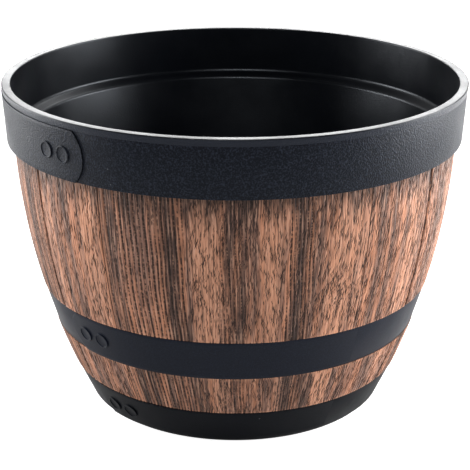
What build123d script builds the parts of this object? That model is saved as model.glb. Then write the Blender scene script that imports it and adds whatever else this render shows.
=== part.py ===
from build123d import *

import os
from math import asin, atan2, cos, degrees, isclose, radians, sin, sqrt

# A barrel planter: curved staves held by three riveted hoops, with a loose liner.
# Millimetres, +Z up, origin on the ground at the centre of the foot, front of the tub towards -Y.
# Plan angles are in degrees from +X, so the front is at -90.

# The whole tub
height = 165.0  # ground to the top of the liner's lip
lip_r = 115.0  # outside radius of the lip, the widest place
foot_r = 75.8  # the staves' outer face, carried down to the ground
bow_r = 343.8  # radius of the arc that the staves are bent to
front = -90.0

# Staves
stave_count = 16
stave_t = 3.6
stave_gap = 0.1  # open joint between two staves
stave_chamfer = 0.4  # eased outer corner along each joint
chime_drop = 2.0  # fall of the bevelled stave tops, from outside to inside

# Hoops. The rim hoop stands proud, the other two lie in seats cut into the staves.
rim_hoop_z = 137.4
rim_hoop_t = 1.6
rim_hoop_flare = 1.4  # taper of its wall, from the lower edge out to the upper
rim_hoop_proud = 2.9  # from the staves' face out to its lower edge
rim_flange_t = 1.5  # turned-in lower edge that grips the stave tops
middle_hoop_z = 42.7
middle_hoop_h = 21.0
base_hoop_h = 20.6
hoop_t = 1.2
hoop_recess = 0.35  # from the staves' face down to the hoop's face
hoop_gap = 0.1  # between a hoop and the staves
foot_t = 2.0  # turned-in lower edge of the base hoop, which the tub stands on
foot_w = 13.8
foot_bevel = 2.4  # corner between the base hoop's wall and the foot

# Laps. Each strap's rounded end lies on its own hoop, and the strap fades into it.
rim_lap_angle = front - 35.8  # plan angle of the strap end's tip
middle_lap_angle = front - 54.0
base_lap_angle = front - 55.0
rim_lap_end_r = 13.5
lap_end_r = 11.5
lap_rise = 0.5
lap_t = 0.9
lap_fade = 80.0  # degrees of the hoop over which the rise runs out
lap_overshoot = 4.0  # degrees left in front of the end for cutting it round

# Rivets, two through each lap
rivet_spacing = 11.3
rivet_head_r = 4.0
rivet_head_h = 0.75
rivet_shank_r = 1.8
rivet_play = 0.05
rivet_seat_rim = 0.3
rivet_seat_depth = 0.15

# Bottom head, a bevelled disc in a groove round the inside of the staves
head_z = 23.0
head_t = 5.0
head_edge_t = 2.6
croze_depth = 1.1
croze_gap = 0.15
head_gap = 0.5  # between the disc's full thickness and the staves

# Liner
liner_t = 1.4  # wall, shoulder and collar
liner_floor_t = 1.8
liner_gap = 0.3  # to the staves and to the bottom head
seat_gap = 0.35  # over the stave tops and over the rim hoop
collar_gap = 0.6  # inside the rim hoop
lip_w = 4.4
lip_h = 3.0
lip_round = 1.4
lip_overhang = 0.4  # past the rim hoop's upper edge
shoulder_bevel = 1.2
liner_foot_bevel = 5.0

# Drain holes, in line through the liner's floor and the bottom head
drain_count = 4
drain_circle_r = 45.0
drain_r = 4.0
head_drain_r = 5.0

# How far a cutter runs past the faces that it cuts
past = 2.0

# Radii that follow from the lip inwards. The neck is the staves' face at the rim hoop's lower edge.
rim_hoop_top_r = lip_r - lip_overhang
rim_hoop_low_r = rim_hoop_top_r - rim_hoop_flare
neck_r = rim_hoop_low_r - rim_hoop_proud

# The staves' outer face is one arc through the foot and the neck.
bow_chord = Vector(neck_r - foot_r, rim_hoop_z)
bow_depth = sqrt(bow_r**2 - (bow_chord.length / 2) ** 2)
bow_centre_r = (foot_r + neck_r) / 2 - bow_depth * bow_chord.Y / bow_chord.length
bow_centre_z = rim_hoop_z / 2 + bow_depth * bow_chord.X / bow_chord.length

# Levels and depths that several pieces share
lip_z = height - lip_h
rim_hoop_h = lip_z - seat_gap - rim_hoop_z
chime_z = rim_hoop_z + rim_flange_t
chime_in_z = chime_z - chime_drop
middle_top = middle_hoop_z + middle_hoop_h
hoop_back = hoop_recess + hoop_t
lap_back = hoop_recess + lap_t
hoop_seat = hoop_back + hoop_gap
head_top = head_z + head_t
head_edge_z = head_z + (head_t - head_edge_t) / 2
head_edge_top = head_edge_z + head_edge_t


def shell_r(z, depth=0.0):
    """Radius at height z of the face that lies depth inside the staves' outer face."""
    return bow_centre_r + sqrt((bow_r - depth) ** 2 - (z - bow_centre_z) ** 2)


def shell_arc(z_from, z_to, depth=0.0):
    """That face's arc between two heights, for the sketch under way."""
    start = (shell_r(z_from, depth), z_from)
    end = (shell_r(z_to, depth), z_to)
    middle = (z_from + z_to) / 2
    ThreePointArc(start, (shell_r(middle, depth), middle), end)
    return start, end


def shell_lean(z, depth=0.0):
    """How far that face leans over the ground at height z, in degrees."""
    return degrees(asin((bow_centre_z - z) / (bow_r - depth)))


def rim_face_r(z):
    """Radius of the rim hoop's tapered face."""
    share = (z - rim_hoop_z) / rim_hoop_h
    return rim_hoop_low_r + rim_hoop_flare * share


def plan_vector(angle, length=1.0):
    """Level vector at a plan angle."""
    return Vector(cos(radians(angle)), sin(radians(angle)), 0) * length


def upright_plane(angle, centre=(0, 0, 0)):
    """Section plane through an upright axis, with X outwards and Y up."""
    out = plan_vector(angle)
    return Plane(origin=centre, x_dir=out, z_dir=(out.Y, -out.X, 0))


def shell_section(plane, z_from, z_to, outer, inner):
    """Upright section between two heights and two depths, flat from end to end as a strap is."""
    with BuildSketch(plane) as section:
        with BuildLine():
            Polyline(
                (shell_r(z_from, outer), z_from),
                (shell_r(z_to, outer), z_to),
                (shell_r(z_to, inner), z_to),
                (shell_r(z_from, inner), z_from),
                close=True,
            )
        make_face()
    return section.sketch


def rim_section(plane, outer, inner):
    """Upright section of the rim hoop's tapered wall between two depths below its face."""
    rim_top = rim_hoop_z + rim_hoop_h
    with BuildSketch(plane) as section:
        with BuildLine():
            Polyline(
                (rim_face_r(rim_hoop_z) - outer, rim_hoop_z),
                (rim_face_r(rim_top) - outer, rim_top),
                (rim_face_r(rim_top) - inner, rim_top),
                (rim_face_r(rim_hoop_z) - inner, rim_hoop_z),
                close=True,
            )
        make_face()
    return section.sketch


def bevel_corner(sketch, point, size):
    """Bevels the sketch's corner nearest to a point."""
    chamfer(sketch.vertices().sort_by_distance(point)[0], size)


class Lap:
    """Where a strap's rounded end lies on its hoop, and where its rivets go."""

    def __init__(self, tip_angle, toward, z, h, end_r, face_r, lean, strap_t):
        self.tip_angle = tip_angle
        self.toward = toward  # 1 where the strap runs anticlockwise from its tip, else -1
        self.mid_z = z + h / 2
        self.h = h
        self.end_r = end_r
        self.face_r = face_r  # radius of the hoop's face at mid height
        self.lean = lean
        self.strap_t = strap_t
        self.centre = plan_vector(tip_angle, lap_rise)

    def axis(self):
        """The lap turns about an axis moved towards its tip, so its rise runs out by itself."""
        return Axis(self.centre, (0, 0, 1))

    def start_plane(self):
        """Section plane where the anticlockwise sweep of the lap starts."""
        before = lap_overshoot if self.toward > 0 else lap_fade
        return upright_plane(self.tip_angle - before, self.centre)

    def face_plane(self, along, sunk=0.0):
        """Plane on the lap's face, some way along the strap from its tip, with Z outwards."""
        turn = degrees(along / self.face_r)
        angle = self.tip_angle + self.toward * turn
        out = plan_vector(angle)
        normal = out * cos(radians(self.lean)) - Vector(0, 0, sin(radians(self.lean)))
        on_face = out * (self.face_r + self.rise(along)) + Vector(0, 0, self.mid_z)
        return Plane(on_face - normal * sunk, x_dir=(-out.Y, out.X, 0), z_dir=normal)

    def rise(self, along):
        """Height of the lap over the hoop's own face, some way along the strap."""
        return lap_rise * cos(along / self.face_r)

    def rivet_places(self):
        """Distances of the two rivets from the tip."""
        return [self.h / 2, self.h / 2 + rivet_spacing]

    def grip(self, along):
        """Metal under a rivet's head, down to the hoop's back."""
        return self.strap_t + self.rise(along) - rivet_seat_depth


def lay_lap(lap, section):
    """Sweeps the lap and cuts its end round. The hoop itself is added afterwards."""
    revolve(section, axis=lap.axis(), revolution_arc=lap_fade + lap_overshoot)
    with BuildSketch(lap.face_plane(0)) as waste:
        overshoot = radians(lap_overshoot) * lap.face_r + past
        with Locations((lap.toward * (lap.end_r - overshoot) / 2, 0)):
            Rectangle(lap.end_r + overshoot, lap.h + 2 * past)
        with Locations((lap.toward * lap.end_r, 0)):
            Circle(lap.end_r, mode=Mode.SUBTRACT)
    extrude(waste.sketch, amount=lap.strap_t + past, both=True, mode=Mode.SUBTRACT)


def cut_rivet_seats(lap):
    """Spot-faces the lap for its rivets and bores it for their shanks."""
    for along in lap.rivet_places():
        plane = lap.face_plane(along, rivet_seat_depth)
        with BuildSketch(plane) as seat:
            Circle(rivet_head_r + rivet_seat_rim)
        extrude(seat.sketch, amount=past, mode=Mode.SUBTRACT)
        with BuildSketch(plane) as bore:
            Circle(rivet_shank_r + rivet_play)
        extrude(bore.sketch, amount=-lap.grip(along) - past, mode=Mode.SUBTRACT)


def rivet_pair(lap):
    """The two flat-headed rivets of one lap, as one node."""
    with BuildPart() as rivets:
        for along in lap.rivet_places():
            with BuildSketch(lap.face_plane(along, rivet_seat_depth)):
                Circle(rivet_head_r)
            extrude(amount=rivet_head_h)
            with BuildSketch(lap.face_plane(along, rivet_seat_depth)):
                Circle(rivet_shank_r)
            extrude(amount=-lap.grip(along))
    return rivets


def shell_lap(tip_angle, z, h):
    """Lap of a hoop that lies in a seat in the staves."""
    mid_z = z + h / 2
    face_r = shell_r(mid_z, hoop_recess)
    lean = shell_lean(mid_z, hoop_recess)
    return Lap(tip_angle, 1, z, h, lap_end_r, face_r, lean, hoop_t)


os.makedirs("parts", exist_ok=True)

# The laps. Seen from outside, the rim hoop's strap ends to the right, the others' to the left.
rim_mid_r = rim_face_r(rim_hoop_z + rim_hoop_h / 2)
rim_lean = degrees(atan2(rim_hoop_flare, rim_hoop_h))
rim_lap = Lap(rim_lap_angle, -1, rim_hoop_z, rim_hoop_h, rim_lap_end_r, rim_mid_r, rim_lean, rim_hoop_t)
middle_lap = shell_lap(middle_lap_angle, middle_hoop_z, middle_hoop_h)
base_lap = shell_lap(base_lap_angle, 0, base_hoop_h)

# Bottom head, in line with its groove
head_r = shell_r(head_edge_top, stave_t) + croze_depth
head_face_r = shell_r(head_z, stave_t) - head_gap
head_bevel = (head_t - head_edge_t) / 2
with BuildPart() as bottom_head:
    with BuildSketch(Plane.XZ):
        with BuildLine():
            Polyline(
                (0, head_z),
                (head_face_r - head_bevel, head_z),
                (head_face_r, head_edge_z),
                (head_r, head_edge_z),
                (head_r, head_edge_top),
                (head_face_r, head_edge_top),
                (head_face_r - head_bevel, head_top),
                (0, head_top),
                close=True,
            )
        make_face()
    revolve(axis=Axis.Z)
    with BuildSketch(Plane.XY.offset(head_z)):
        Circle(head_drain_r)
        with PolarLocations(drain_circle_r, drain_count):
            Circle(head_drain_r)
    extrude(amount=head_t, mode=Mode.SUBTRACT)
bottom_head.part.label = "bottom_head"
export_step(bottom_head.part, "parts/bottom_head.step")

# Staves, numbered anticlockwise seen from above, with the first at the front
stave_pitch = 360 / stave_count
stave_turn = stave_pitch - degrees(stave_gap / neck_r)
stave_foot_z = foot_t + hoop_gap
for number in range(stave_count):
    joint = upright_plane(front + number * stave_pitch - stave_turn / 2)
    with BuildPart() as stave:
        with BuildSketch(joint):
            with BuildLine():
                foot_out, top_out = shell_arc(stave_foot_z, chime_z)
                foot_in, top_in = shell_arc(stave_foot_z, chime_in_z, stave_t)
                Line(foot_out, foot_in)
                Line(top_out, top_in)
            make_face()
        revolve(axis=Axis.Z, revolution_arc=stave_turn)
        bent_edges = stave.edges().filter_by(GeomType.CIRCLE)
        chamfer(bent_edges.filter_by(lambda edge: isclose(edge.radius, bow_r)), stave_chamfer)

        # Seats for the base hoop and the middle hoop
        seats = [
            (stave_foot_z - past, base_hoop_h + hoop_gap),
            (middle_hoop_z - hoop_gap, middle_top + hoop_gap),
        ]
        for seat_z, seat_top in seats:
            seat = shell_section(joint, seat_z, seat_top, -past, hoop_seat)
            revolve(seat, axis=Axis.Z, revolution_arc=stave_turn, mode=Mode.SUBTRACT)

        # Groove for the bottom head
        with BuildSketch(joint):
            with Locations((0, head_edge_z - croze_gap)):
                Rectangle(
                    head_r + croze_gap,
                    head_edge_t + 2 * croze_gap,
                    align=(Align.MIN, Align.MIN),
                )
        revolve(axis=Axis.Z, revolution_arc=stave_turn, mode=Mode.SUBTRACT)
    stave.part.label = f"stave_{number + 1:02d}"
    export_step(stave.part, f"parts/{stave.part.label}.step")

# Rim hoop, with a flange turned in round the stave tops
with BuildPart() as rim_hoop:
    lay_lap(rim_lap, rim_section(rim_lap.start_plane(), 0, lap_t))
    revolve(rim_section(Plane.XZ, 0, rim_hoop_t), axis=Axis.Z)
    with BuildSketch(Plane.XZ):
        with BuildLine():
            Polyline(
                (rim_face_r(rim_hoop_z) - rim_hoop_t / 2, rim_hoop_z),
                (rim_face_r(chime_z) - rim_hoop_t / 2, chime_z),
                (shell_r(chime_z) + hoop_gap, chime_z),
                (shell_r(rim_hoop_z) + hoop_gap, rim_hoop_z),
                close=True,
            )
        make_face()
    revolve(axis=Axis.Z)
    cut_rivet_seats(rim_lap)
rim_hoop.part.label = "rim_hoop"
export_step(rim_hoop.part, "parts/rim_hoop.step")

# Middle hoop
with BuildPart() as middle_hoop:
    lap_section = shell_section(
        middle_lap.start_plane(), middle_hoop_z, middle_top, hoop_recess, lap_back
    )
    lay_lap(middle_lap, lap_section)
    revolve(
        shell_section(Plane.XZ, middle_hoop_z, middle_top, hoop_recess, hoop_back),
        axis=Axis.Z,
    )
    cut_rivet_seats(middle_lap)
middle_hoop.part.label = "middle_hoop"
export_step(middle_hoop.part, "parts/middle_hoop.step")

# Base hoop, turned in under the staves as the foot that the tub stands on
with BuildPart() as base_hoop:
    lap_section = shell_section(
        base_lap.start_plane(), foot_bevel, base_hoop_h, hoop_recess, lap_back
    )
    lay_lap(base_lap, lap_section)
    with BuildSketch(Plane.XZ) as base_section:
        with BuildLine():
            Polyline(
                (shell_r(0, hoop_recess), 0),
                (shell_r(base_hoop_h, hoop_recess), base_hoop_h),
                (shell_r(base_hoop_h, hoop_back), base_hoop_h),
                (shell_r(foot_t, hoop_back), foot_t),
                (foot_r - foot_w, foot_t),
                (foot_r - foot_w, 0),
                close=True,
            )
        make_face()
        bevel_corner(base_section, (shell_r(0, hoop_recess), 0), foot_bevel)
    revolve(axis=Axis.Z)
    cut_rivet_seats(base_lap)
base_hoop.part.label = "base_hoop"
export_step(base_hoop.part, "parts/base_hoop.step")

# Rivets, a pair for each lap
laps = {"rim_hoop": rim_lap, "middle_hoop": middle_lap, "base_hoop": base_lap}
for hoop_name, lap in laps.items():
    rivets = rivet_pair(lap)
    rivets.part.label = f"{hoop_name}_rivets"
    export_step(rivets.part, f"parts/{rivets.part.label}.step")

# Liner: floor, wall, the shoulder that rests on the stave tops, collar and rolled lip
liner_back = stave_t + liner_gap
liner_face = liner_back + liner_t
floor_z = head_top + liner_gap
floor_top = floor_z + liner_floor_t
chime_r = shell_r(chime_z)
chime_slope = chime_drop / (chime_r - shell_r(chime_in_z, stave_t))
collar_back = rim_hoop_t + collar_gap
collar_face = collar_back + liner_t


def shoulder_point(r, lift):
    """Point on the shoulder at radius r, lifted off the stave tops' bevel."""
    return (r, chime_z + lift + (r - chime_r) * chime_slope)


wall_back = shoulder_point(shell_r(chime_in_z, liner_back), seat_gap)
collar_back_foot = shoulder_point(rim_face_r(chime_z) - collar_back, seat_gap)
shoulder_lift = seat_gap + liner_t * sqrt(1 + chime_slope**2)
collar_foot = shoulder_point(rim_face_r(chime_z) - collar_face, shoulder_lift)
wall_top = shoulder_point(shell_r(chime_in_z, liner_face), shoulder_lift)

with BuildPart() as liner:
    with BuildSketch(Plane.XZ) as liner_section:
        back_foot = (shell_r(floor_z, liner_back), floor_z)
        face_foot = (shell_r(floor_top, liner_face), floor_top)
        lip_in = (lip_r - lip_w, height)
        with BuildLine():
            Polyline(
                (0, floor_z),
                back_foot,
                wall_back,
                collar_back_foot,
                (rim_face_r(lip_z) - collar_back, lip_z),
                (lip_r, lip_z),
                (lip_r, height),
                lip_in,
                collar_foot,
                wall_top,
                face_foot,
                (0, floor_top),
                close=True,
            )
        make_face()
        bevel_corner(liner_section, back_foot, liner_foot_bevel)
        bevel_corner(liner_section, face_foot, liner_foot_bevel - liner_t / 2)
        bevel_corner(liner_section, wall_top, shoulder_bevel)
        for corner in [(lip_r, height), lip_in]:
            fillet(liner_section.vertices().sort_by_distance(corner)[0], lip_round)
    revolve(axis=Axis.Z)
    with BuildSketch(Plane.XY.offset(floor_z)):
        Circle(drain_r)
        with PolarLocations(drain_circle_r, drain_count):
            Circle(drain_r)
    extrude(amount=liner_floor_t, mode=Mode.SUBTRACT)
liner.part.label = "liner"
export_step(liner.part, "parts/liner.step")
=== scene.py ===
# %% [markdown]
# A barrel planter in Blender. Sixteen bowed staves stand round a bottom head and are held by three
# riveted hoops, and a black liner hangs inside them by its lip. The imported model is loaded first,
# as a fixed frame: it says where every piece is, and how big the whole tub may be.

# %% Load the frame and note its size
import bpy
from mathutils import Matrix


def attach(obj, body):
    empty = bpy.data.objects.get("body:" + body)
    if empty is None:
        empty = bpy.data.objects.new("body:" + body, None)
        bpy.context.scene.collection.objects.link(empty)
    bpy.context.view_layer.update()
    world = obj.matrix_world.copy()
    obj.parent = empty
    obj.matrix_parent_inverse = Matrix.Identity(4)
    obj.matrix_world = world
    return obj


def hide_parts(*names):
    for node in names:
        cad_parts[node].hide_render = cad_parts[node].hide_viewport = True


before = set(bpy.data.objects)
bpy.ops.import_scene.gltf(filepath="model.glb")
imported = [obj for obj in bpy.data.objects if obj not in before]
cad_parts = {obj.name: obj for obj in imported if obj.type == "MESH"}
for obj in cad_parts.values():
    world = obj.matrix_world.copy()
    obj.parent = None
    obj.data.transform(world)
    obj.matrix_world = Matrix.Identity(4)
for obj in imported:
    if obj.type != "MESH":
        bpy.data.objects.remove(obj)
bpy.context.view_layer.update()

# %% [markdown]
# The sizes below are the tub's own, in metres, with Z up and the front towards -Y. They are the
# sizes that the frame was made from. Plan angles are in degrees from the front, positive to the
# right as one faces the tub, because that is how streaks and joints are read off a real barrel.

# %% Sizes of the tub
from collections import namedtuple
from math import atan2, cos, degrees, pi, radians, sin, sqrt

import bpy
import numpy as np
from mathutils import Matrix, Vector

mm = 0.001
height = 165 * mm
lip_r = 115 * mm
foot_r = 75.8 * mm
bow_r = 343.8 * mm
stave_count = 16
stave_t = 3.6 * mm
stave_gap = 0.1 * mm
chime_drop = 2 * mm
rim_hoop_z = 137.4 * mm
rim_hoop_t = 1.6 * mm
rim_hoop_flare = 1.4 * mm
rim_hoop_proud = 2.9 * mm
rim_flange_t = 1.5 * mm
middle_hoop_z = 42.7 * mm
middle_hoop_h = 21 * mm
base_hoop_h = 20.6 * mm
hoop_t = 1.2 * mm
hoop_recess = 0.35 * mm
hoop_gap = 0.1 * mm
foot_t = 2 * mm
foot_w = 13.8 * mm
lip_w = 4.4 * mm
lip_h = 3 * mm
lip_overhang = 0.4 * mm
seat_gap = 0.35 * mm
collar_gap = 0.6 * mm
liner_gap = 0.3 * mm
liner_t = 1.4 * mm
liner_floor_t = 1.8 * mm
head_z = 23 * mm
head_t = 5 * mm
head_edge_t = 2.6 * mm
croze_depth = 1.1 * mm
croze_gap = 0.15 * mm

# %% [markdown]
# A bowed stave follows one arc from foot to neck. Everything else on the tub is measured from that
# arc: a hoop lies in a seat cut below it, the bottom head sits in a groove behind it. So one
# function gives the radius of the staves' face at any height, and a depth below it.

# %% The arc of the staves
lip_z = height - lip_h
rim_hoop_top_z = lip_z - seat_gap
rim_hoop_h = rim_hoop_top_z - rim_hoop_z
rim_hoop_low_r = lip_r - lip_overhang - rim_hoop_flare
neck_r = rim_hoop_low_r - rim_hoop_proud
middle_top = middle_hoop_z + middle_hoop_h
chime_z = rim_hoop_z + rim_flange_t
chime_in_z = chime_z - chime_drop
stave_foot_z = foot_t + hoop_gap
hoop_back = hoop_recess + hoop_t
hoop_seat = hoop_back + hoop_gap
head_top = head_z + head_t
head_edge_z = head_z + (head_t - head_edge_t) / 2
head_edge_top = head_edge_z + head_edge_t

bow_chord = sqrt((neck_r - foot_r) ** 2 + rim_hoop_z**2)
bow_reach = sqrt(bow_r**2 - (bow_chord / 2) ** 2)
bow_centre_r = (foot_r + neck_r) / 2 - bow_reach * rim_hoop_z / bow_chord
bow_centre_z = rim_hoop_z / 2 + bow_reach * (neck_r - foot_r) / bow_chord


def shell_r(z, depth=0.0):
    """Radius at height z of the face that lies depth inside the staves' outer face."""
    return bow_centre_r + np.sqrt((bow_r - depth) ** 2 - (z - bow_centre_z) ** 2)


def strap_r(z, low_z, high_z, depth):
    """Radius of a hoop that lies flat, as a strap does, between two heights of that face."""
    share = (z - low_z) / (high_z - low_z)
    return shell_r(low_z, depth) * (1 - share) + shell_r(high_z, depth) * share


def rim_face_r(z):
    """Radius of the rim hoop's tapered face."""
    return rim_hoop_low_r + rim_hoop_flare * (z - rim_hoop_z) / rim_hoop_h


belly_z = 70 * mm
face_radii = [round(shell_r(z) / mm, 1) for z in (0, belly_z, rim_hoop_z)]
print("staves' face at foot, belly and neck in mm:", face_radii)

# %% [markdown]
# The camera stands where the photographer stood: straight in front and looking down by about
# twenty degrees, so that the mouth shows as a flat ellipse and the front of the foot as a curve.

# %% Camera
camera_data = bpy.data.cameras.new("camera")
camera_data.sensor_width = 36
camera_data.lens = 106.344
camera = bpy.data.objects.new("camera", camera_data)
camera.location = (0, -0.6750, 0.3303)
camera.rotation_euler = (radians(69.636), 0, 0)
bpy.context.collection.objects.link(camera)
bpy.context.scene.camera = camera
bpy.context.scene.view_settings.view_transform = "Standard"
print("height of the camera in mm:", round(camera.location.z / mm))

# %% [markdown]
# Materials and the world are trees of nodes. Three short helpers add the nodes, so that the cells
# below read like recipes: one for any node, one for sums, and one that maps a range of values onto
# another, which is how a soft pattern becomes a crisp mark.

# %% Helpers that add nodes
def add_node(tree, kind, links=None, **settings):
    """Adds a node, sets its settings and sockets, and links the sockets named in links."""
    made = tree.nodes.new(kind)
    for name, value in settings.items():
        if hasattr(made, name):
            setattr(made, name, value)
        else:
            made.inputs[name.replace("_", " ")].default_value = value
    for name, source in (links or {}).items():
        tree.links.new(source, made.inputs[name])
    return made


def math_node(tree, operation, first, second=None, third=None, clamp=False):
    """Adds a Math node. Each value is a number or another node's output."""
    made = tree.nodes.new("ShaderNodeMath")
    made.operation = operation
    made.use_clamp = clamp
    for place, value in enumerate((first, second, third)):
        if isinstance(value, bpy.types.NodeSocket):
            tree.links.new(value, made.inputs[place])
        elif value is not None:
            made.inputs[place].default_value = value
    return made.outputs[0]


def map_range(tree, value, start, end, low=0.0, high=1.0, ease="LINEAR"):
    """Maps a value that runs from start to end onto low to high, and holds it between them."""
    made = tree.nodes.new("ShaderNodeMapRange")
    made.interpolation_type = ease
    tree.links.new(value, made.inputs["Value"])
    for name, number in (("From Min", start), ("From Max", end), ("To Min", low), ("To Max", high)):
        made.inputs[name].default_value = number
    return made.outputs[0]


# %% [markdown]
# A photo studio for something black and glossy is mostly white cards. The cards to the sides and
# behind give the hoops their bright flanks, and the room behind the camera is darker, so the black
# stays black in front. Here the world is that room. The camera sees it white. In reflections it is
# white behind the tub and nearly black in front, and a little of it fills the shadows all round.

# %% The room round the tub
room_fill = 0.26
front_grey = 0.03
room = bpy.data.worlds.new("room")
bpy.context.scene.world = room
room.use_nodes = True
room_tree = room.node_tree
room_tree.nodes.clear()
room_way = add_node(room_tree, "ShaderNodeTexCoord")
room_axes = add_node(room_tree, "ShaderNodeSeparateXYZ", {"Vector": room_way.outputs["Generated"]})
room_share = map_range(room_tree, room_axes.outputs["Y"], -0.1, 0.8, front_grey, 1.0, "SMOOTHSTEP")
rays = add_node(room_tree, "ShaderNodeLightPath")
seen = math_node(room_tree, "MAXIMUM", rays.outputs["Is Camera Ray"], rays.outputs["Is Transmission Ray"])
mirrored = math_node(room_tree, "MULTIPLY", rays.outputs["Is Glossy Ray"], room_share)
spread = math_node(room_tree, "MULTIPLY", rays.outputs["Is Diffuse Ray"], room_fill)
level = math_node(room_tree, "ADD", math_node(room_tree, "MAXIMUM", seen, mirrored), spread)
sky = add_node(room_tree, "ShaderNodeBackground", {"Strength": level}, Color=(1, 1, 1, 1))
add_node(room_tree, "ShaderNodeOutputWorld", {"Surface": sky.outputs[0]})
print("nodes in the room:", len(room_tree.nodes))

# %% Softboxes
softboxes = [
    # name, place, width and height, power
    ("front softbox", (-0.1, -0.95, 1.0), (0.6, 0.4), 8),
    ("left softbox", (-0.77, 0.2, 0.28), (0.45, 0.5), 11),
    ("right softbox", (0.8, 0.1, 0.28), (0.55, 0.5), 17),
    ("back softbox", (0, 1.1, 0.5), (0.8, 0.2), 5),
    ("high softbox", (0.7, 1.0, 1.25), (0.6, 0.6), 7.5),
]
tub_middle = Vector((0, 0, height / 2))
for name, place, size, power in softboxes:
    data = bpy.data.lights.new(name, "AREA")
    data.shape = "RECTANGLE"
    data.size, data.size_y = size
    data.energy = power
    lamp = bpy.data.objects.new(name, data)
    lamp.location = place
    lamp.rotation_euler = (tub_middle - Vector(place)).to_track_quat("-Z", "Y").to_euler()
    bpy.context.collection.objects.link(lamp)
print("softboxes:", len(softboxes))

# %% [markdown]
# The floor is a wide white sheet. It takes the tub's shadow like any surface. Light of its own lifts
# it to paper white for the camera, and behind the tub for reflections too, as in the room above. The
# part under the tub has none, so that no white shows through the drain holes.

# %% Floor
under_tub = 64 * mm
past_tub = 72 * mm
paper_lift = 0.9
bpy.ops.object.select_all(action="DESELECT")
bpy.ops.mesh.primitive_plane_add(size=6, location=(0, 0, -0.05 * mm))
floor = bpy.context.object
floor.name = "floor"
paper = bpy.data.materials.new("white paper")
paper.use_nodes = True
paper_tree = paper.node_tree
paper_tree.nodes.clear()
paper_face = add_node(paper_tree, "ShaderNodeBsdfDiffuse", Color=(0.6, 0.6, 0.6, 1))
paper_rays = add_node(paper_tree, "ShaderNodeLightPath")
paper_place = add_node(paper_tree, "ShaderNodeTexCoord").outputs["Object"]
paper_axes = add_node(paper_tree, "ShaderNodeSeparateXYZ", {"Vector": paper_place})
behind = map_range(paper_tree, paper_axes.outputs["Y"], 0.0, 0.45)
mirrored = math_node(paper_tree, "MULTIPLY", paper_rays.outputs["Is Glossy Ray"], behind)
lift = math_node(paper_tree, "MAXIMUM", paper_rays.outputs["Is Camera Ray"], mirrored)
reach = add_node(paper_tree, "ShaderNodeVectorMath", {0: paper_place}, operation="LENGTH")
outside = map_range(paper_tree, reach.outputs["Value"], under_tub, past_tub, high=paper_lift)
lift = math_node(paper_tree, "MULTIPLY", lift, outside)
paper_glow = add_node(paper_tree, "ShaderNodeEmission", {"Strength": lift})
paper_sum = add_node(
    paper_tree, "ShaderNodeAddShader", {0: paper_face.outputs[0], 1: paper_glow.outputs[0]}
)
add_node(paper_tree, "ShaderNodeOutputMaterial", {"Surface": paper_sum.outputs[0]})
floor.data.materials.append(paper)
print("floor's side in metres:", round(floor.dimensions.x, 1))

# %% [markdown]
# Every turned piece of the tub is modelled the way a lathe works: its outline is drawn once and
# spun round the tub's axis. A circle primitive gives a closed loop with one corner for each point
# of the outline, and the spin operator sweeps it.

# %% Helpers that turn an outline
def begin_piece():
    """Clears the selection, so that an operator acts on the new piece alone."""
    if bpy.context.object and bpy.context.object.mode != "OBJECT":
        bpy.ops.object.mode_set(mode="OBJECT")
    bpy.ops.object.select_all(action="DESELECT")


def draw_outline(name, outline, angle):
    """A closed loop of (radius, height) points, standing at a plan angle."""
    begin_piece()
    bpy.ops.mesh.primitive_circle_add(vertices=len(outline), radius=lip_r)
    piece = bpy.context.object
    piece.name = piece.data.name = name
    out = Vector((sin(radians(angle)), -cos(radians(angle)), 0))
    for corner, (r, z) in zip(piece.data.vertices, outline):
        corner.co = out * float(r) + Vector((0, 0, float(z)))
    return piece


def spin_outline(piece, turn, steps):
    """Spins the loop round the tub by some degrees, clockwise from above, and closes a full turn."""
    bpy.ops.object.mode_set(mode="EDIT")
    bpy.ops.mesh.select_all(action="SELECT")
    bpy.ops.mesh.spin(steps=steps, angle=radians(turn), center=(0, 0, 0), axis=(0, 0, 1))
    bpy.ops.mesh.select_all(action="SELECT")
    bpy.ops.mesh.remove_doubles(threshold=0.001 * mm)
    bpy.ops.mesh.normals_make_consistent(inside=False)
    bpy.ops.object.mode_set(mode="OBJECT")


# %% [markdown]
# A piece is finished by modifiers that are applied at once, and by smooth shading that stops at
# sharp edges. Then the frame is told which body the piece rides on, and which node it stands for.

# %% Helpers that finish a piece
def apply_modifier(piece, kind, **settings):
    """Adds a modifier, sets it and applies it."""
    begin_piece()
    piece.select_set(True)
    bpy.context.view_layer.objects.active = piece
    made = piece.modifiers.new(kind, kind)
    for name, value in settings.items():
        setattr(made, name, value)
    bpy.ops.object.modifier_apply(modifier=made.name)


def bevel_edges(piece, width, segments, angle):
    """Rounds the edges where two faces turn by more than an angle."""
    apply_modifier(
        piece,
        "BEVEL",
        width=width,
        segments=segments,
        limit_method="ANGLE",
        angle_limit=radians(angle),
    )


def smooth_piece(piece, angle=35):
    """Smooth shading, but for edges that turn by more than an angle."""
    begin_piece()
    piece.select_set(True)
    bpy.context.view_layer.objects.active = piece
    bpy.ops.object.shade_smooth_by_angle(angle=radians(angle))


def seat_piece(piece, body, nodes, finish):
    """Gives a finished piece its finish, and says what it rides on and stands for."""
    piece.data.materials.clear()
    piece.data.materials.append(finish)
    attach(piece, body)
    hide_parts(*nodes)


# %% [markdown]
# Colours are written as they look on a screen, and turned into the linear values that a shader
# works with.

# %% A helper for colours
def shade(red, green, blue):
    """Linear colour from screen values between 0 and 255."""
    channels = [value / 255 for value in (red, green, blue)]
    linear = [((c + 0.055) / 1.055) ** 2.4 if c > 0.04045 else c / 12.92 for c in channels]
    return (*linear, 1)


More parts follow.
